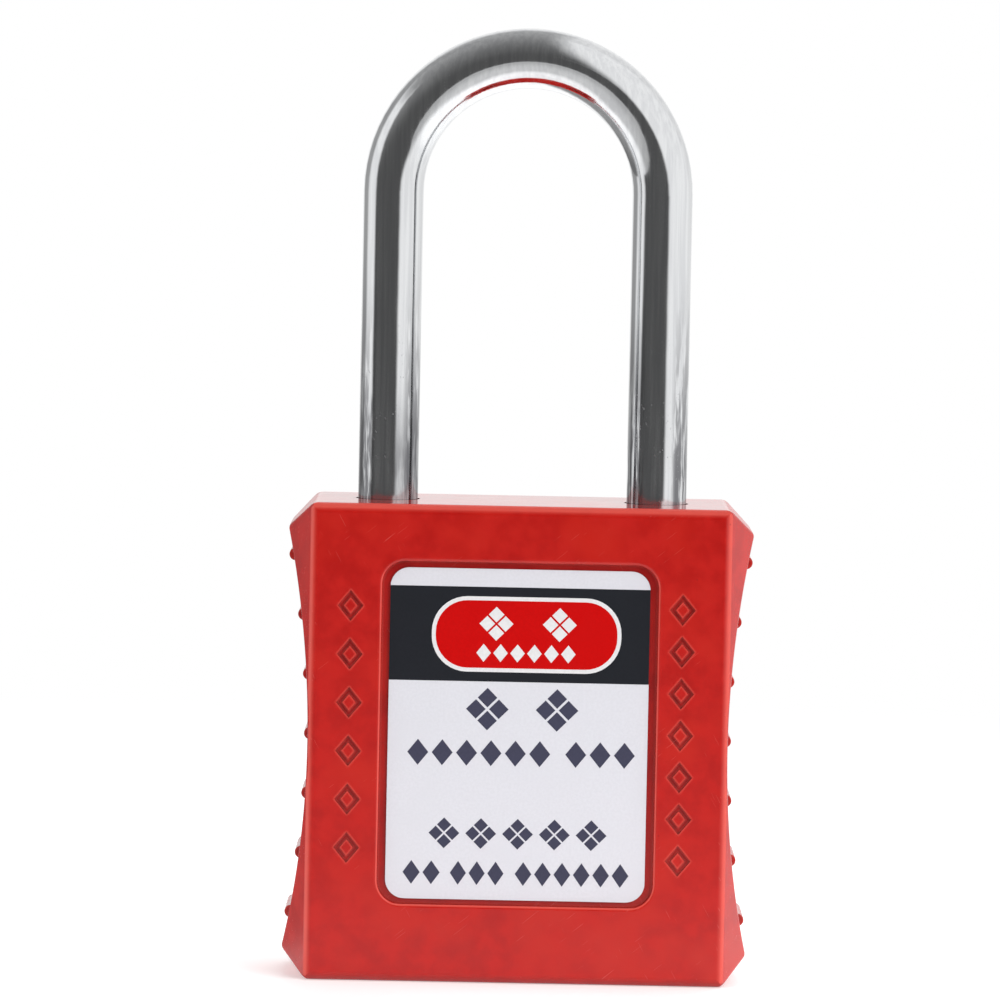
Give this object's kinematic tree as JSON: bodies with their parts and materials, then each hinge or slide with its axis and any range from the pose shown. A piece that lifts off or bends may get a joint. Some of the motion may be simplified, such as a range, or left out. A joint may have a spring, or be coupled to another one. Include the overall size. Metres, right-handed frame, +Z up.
{
  "type": "safety padlock",
  "caption": "Lockout padlock: plastic body with hollow ribbed sides and sunk labels, round U shackle, ball latch and pin tumbler core.",
  "frame": {"origin": "middle of the body's bottom face", "axes": "+Z up along the shackle legs, +X from the heel (long) leg to the toe (short) leg, front face looking along -Y"},
  "size_m": [0.0438, 0.019, 0.0898],
  "materials": {
    "body_red": "satin",
    "label": "satin",
    "shackle_plate": "polished",
    "cast_zinc": "satin",
    "steel": "satin",
    "brass": "satin"
  },
  "bodies": {
    "body": {"front_shell": "body_red", "back_shell": "body_red", "front_label": "label", "back_label": "label", "latch_frame": "cast_zinc", "stop_pin": "steel", "shackle_spring": "steel", "cylinder_housing": "brass", "pin_cover": "brass", "driver_spring_1": "steel", "driver_spring_2": "steel", "driver_spring_3": "steel", "driver_spring_4": "steel", "driver_spring_5": "steel", "driver_spring_6": "steel"},
    "shackle": {"shackle": "shackle_plate"},
    "plug": {"plug": "brass", "plug_clip": "steel", "locking_cam": "cast_zinc"},
    "ball_left": {"ball_left": "steel"},
    "ball_right": {"ball_right": "steel"},
    "driver_pin_1": {"driver_pin_1": "brass"},
    "driver_pin_2": {"driver_pin_2": "brass"},
    "driver_pin_3": {"driver_pin_3": "brass"},
    "driver_pin_4": {"driver_pin_4": "brass"},
    "driver_pin_5": {"driver_pin_5": "brass"},
    "driver_pin_6": {"driver_pin_6": "brass"},
    "key_pin_1": {"key_pin_1": "brass"},
    "key_pin_2": {"key_pin_2": "brass"},
    "key_pin_3": {"key_pin_3": "brass"},
    "key_pin_4": {"key_pin_4": "brass"},
    "key_pin_5": {"key_pin_5": "brass"},
    "key_pin_6": {"key_pin_6": "brass"}
  },
  "joints": [
    {"name": "shackle_lift", "type": "slide", "parent": "body", "child": "shackle", "axis": [0, 0, 1], "range_m": [0, 0.0123], "deforming": ["shackle_spring"]},
    {"name": "plug_turn", "type": "hinge", "parent": "body", "child": "plug", "pos_m": [0, 0, 0.0143], "axis": [0, 0, 1], "range_deg": [-90, 0]},
    {"name": "ball_left_slide", "type": "slide", "parent": "body", "child": "ball_left", "axis": [-1, 0, 0], "range_m": [0, 0.00116]},
    {"name": "ball_right_slide", "type": "slide", "parent": "body", "child": "ball_right", "axis": [1, 0, 0], "range_m": [0, 0.00116]},
    {"name": "driver_pin_1_press", "type": "slide", "parent": "body", "child": "driver_pin_1", "axis": [1, 0, 0], "range_m": [0, 0.00125], "deforming": ["driver_spring_1"]},
    {"name": "driver_pin_2_press", "type": "slide", "parent": "body", "child": "driver_pin_2", "axis": [1, 0, 0], "range_m": [0, 0.00125], "deforming": ["driver_spring_2"]},
    {"name": "driver_pin_3_press", "type": "slide", "parent": "body", "child": "driver_pin_3", "axis": [1, 0, 0], "range_m": [0, 0.00125], "deforming": ["driver_spring_3"]},
    {"name": "driver_pin_4_press", "type": "slide", "parent": "body", "child": "driver_pin_4", "axis": [1, 0, 0], "range_m": [0, 0.00125], "deforming": ["driver_spring_4"]},
    {"name": "driver_pin_5_press", "type": "slide", "parent": "body", "child": "driver_pin_5", "axis": [1, 0, 0], "range_m": [0, 0.00125], "deforming": ["driver_spring_5"]},
    {"name": "driver_pin_6_press", "type": "slide", "parent": "body", "child": "driver_pin_6", "axis": [1, 0, 0], "range_m": [0, 0.00125], "deforming": ["driver_spring_6"]},
    {"name": "key_pin_1_drop", "type": "slide", "parent": "plug", "child": "key_pin_1", "axis": [0, -1, 0], "range_m": [0, 0.0023]},
    {"name": "key_pin_2_drop", "type": "slide", "parent": "plug", "child": "key_pin_2", "axis": [0, -1, 0], "range_m": [0, 0.00151]},
    {"name": "key_pin_3_drop", "type": "slide", "parent": "plug", "child": "key_pin_3", "axis": [0, -1, 0], "range_m": [0, 0.00271]},
    {"name": "key_pin_4_drop", "type": "slide", "parent": "plug", "child": "key_pin_4", "axis": [0, -1, 0], "range_m": [0, 0.00111]},
    {"name": "key_pin_5_drop", "type": "slide", "parent": "plug", "child": "key_pin_5", "axis": [0, -1, 0], "range_m": [0, 0.00191]},
    {"name": "key_pin_6_drop", "type": "slide", "parent": "plug", "child": "key_pin_6", "axis": [0, -1, 0], "range_m": [0, 0.00251]}
  ],
  "couplings": [
    {"joint": "ball_left_slide", "follows": "plug_turn", "m_per_rad": -0.00073211},
    {"joint": "ball_right_slide", "follows": "plug_turn", "m_per_rad": -0.00073211},
    {"joint": "driver_pin_2_press", "follows": "driver_pin_1_press", "ratio": 1},
    {"joint": "driver_pin_3_press", "follows": "driver_pin_1_press", "ratio": 1},
    {"joint": "driver_pin_4_press", "follows": "driver_pin_1_press", "ratio": 1},
    {"joint": "driver_pin_5_press", "follows": "driver_pin_1_press", "ratio": 1},
    {"joint": "driver_pin_6_press", "follows": "driver_pin_1_press", "ratio": 1},
    {"joint": "key_pin_2_drop", "follows": "key_pin_1_drop", "ratio": 0.65217},
    {"joint": "key_pin_3_drop", "follows": "key_pin_1_drop", "ratio": 1.1739},
    {"joint": "key_pin_4_drop", "follows": "key_pin_1_drop", "ratio": 0.47826},
    {"joint": "key_pin_5_drop", "follows": "key_pin_1_drop", "ratio": 0.82609},
    {"joint": "key_pin_6_drop", "follows": "key_pin_1_drop", "ratio": 1.087}
  ]
}
